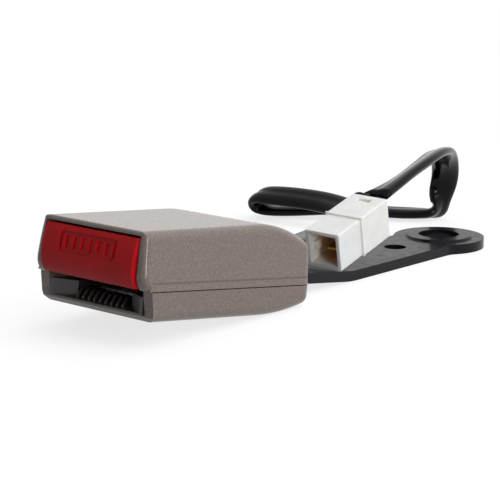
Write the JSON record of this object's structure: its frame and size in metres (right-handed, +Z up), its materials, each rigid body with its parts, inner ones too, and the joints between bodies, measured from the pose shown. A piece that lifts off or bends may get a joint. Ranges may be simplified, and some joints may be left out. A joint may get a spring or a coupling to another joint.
{
  "type": "seat belt buckle",
  "caption": "Seat belt buckle: moulded casing with sprung release button and tongue latch, bent steel anchor strap, switch lead and two-pole connector.",
  "frame": {"origin": "centre of the anchor bolt hole on the strap's underside", "axes": "+Z up along the bolt hole's axis, whose mount points down, the way the bolt leaves, +Y from the buckle's mouth towards the strap's eye, +X to the side away from the lead's loop"},
  "size_m": [0.1088, 0.2208, 0.0337],
  "materials": {
    "cover_plastic": "fine grained, metallic flake taupe",
    "button_plastic": "satin red",
    "guide_plastic": "matt black moulding",
    "inner_plastic": "matt dark moulding",
    "black_steel": "glossy black paint",
    "frame_steel": "zinc plated",
    "spring_steel": "bright wire",
    "lead_pvc": "glossy black PVC",
    "connector_plastic": "white nylon",
    "contact_brass": "bright"
  },
  "bodies": {
    "casing": {"upper_cover": "cover_plastic", "lower_cover": "cover_plastic", "mouth_guide": "guide_plastic", "button_springs": "spring_steel", "base_frame": "frame_steel", "frame_rivets": "frame_steel", "latch_pin": "frame_steel", "latch_spring": "spring_steel", "ejector_spring": "spring_steel", "switch_housing": "inner_plastic", "switch_cover": "inner_plastic", "switch_contacts": "contact_brass", "switch_wires": "lead_pvc", "lead_grommet": "guide_plastic", "anchor_plate": "black_steel", "lead_sleeve": "lead_pvc", "lead_wires": "lead_pvc", "connector_housing": "connector_plastic", "connector_blades": "contact_brass"},
    "button": {"release_button": "button_plastic"},
    "lock": {"lock_slider": "inner_plastic", "lock_pin": "frame_steel"},
    "latch": {"latch_plate": "frame_steel"},
    "ejector": {"ejector": "inner_plastic"},
    "plunger": {"switch_plunger": "inner_plastic"}
  },
  "joints": [
    {"name": "button_slide", "type": "slide", "parent": "casing", "child": "button", "axis": [0, 0.9903, -0.1392], "range_m": [0, 0.0045], "stiffness_N_per_m": 500, "springref_m": -0.004, "deforming": ["button_springs"]},
    {"name": "lock_slide", "type": "slide", "parent": "casing", "child": "lock", "axis": [0, 0.9903, -0.1392], "range_m": [0, 0.0045]},
    {"name": "ejector_slide", "type": "slide", "parent": "casing", "child": "ejector", "axis": [0, 0.9903, -0.1392], "range_m": [0, 0.01], "stiffness_N_per_m": 150, "springref_m": -0.006, "deforming": ["ejector_spring"]},
    {"name": "latch_pivot", "type": "hinge", "parent": "casing", "child": "latch", "pos_m": [0, -0.12054, 0.01118], "axis": [1, 0, 0], "range_deg": [0, 10]},
    {"name": "plunger_slide", "type": "slide", "parent": "casing", "child": "plunger", "axis": [0, 0.9903, -0.1392], "range_m": [0, 0.01]}
  ],
  "couplings": [
    {"joint": "lock_slide", "follows": "button_slide", "ratio": 1},
    {"joint": "latch_pivot", "follows": "ejector_slide", "rad_per_m": 17.45},
    {"joint": "plunger_slide", "follows": "ejector_slide", "ratio": 1}
  ]
}
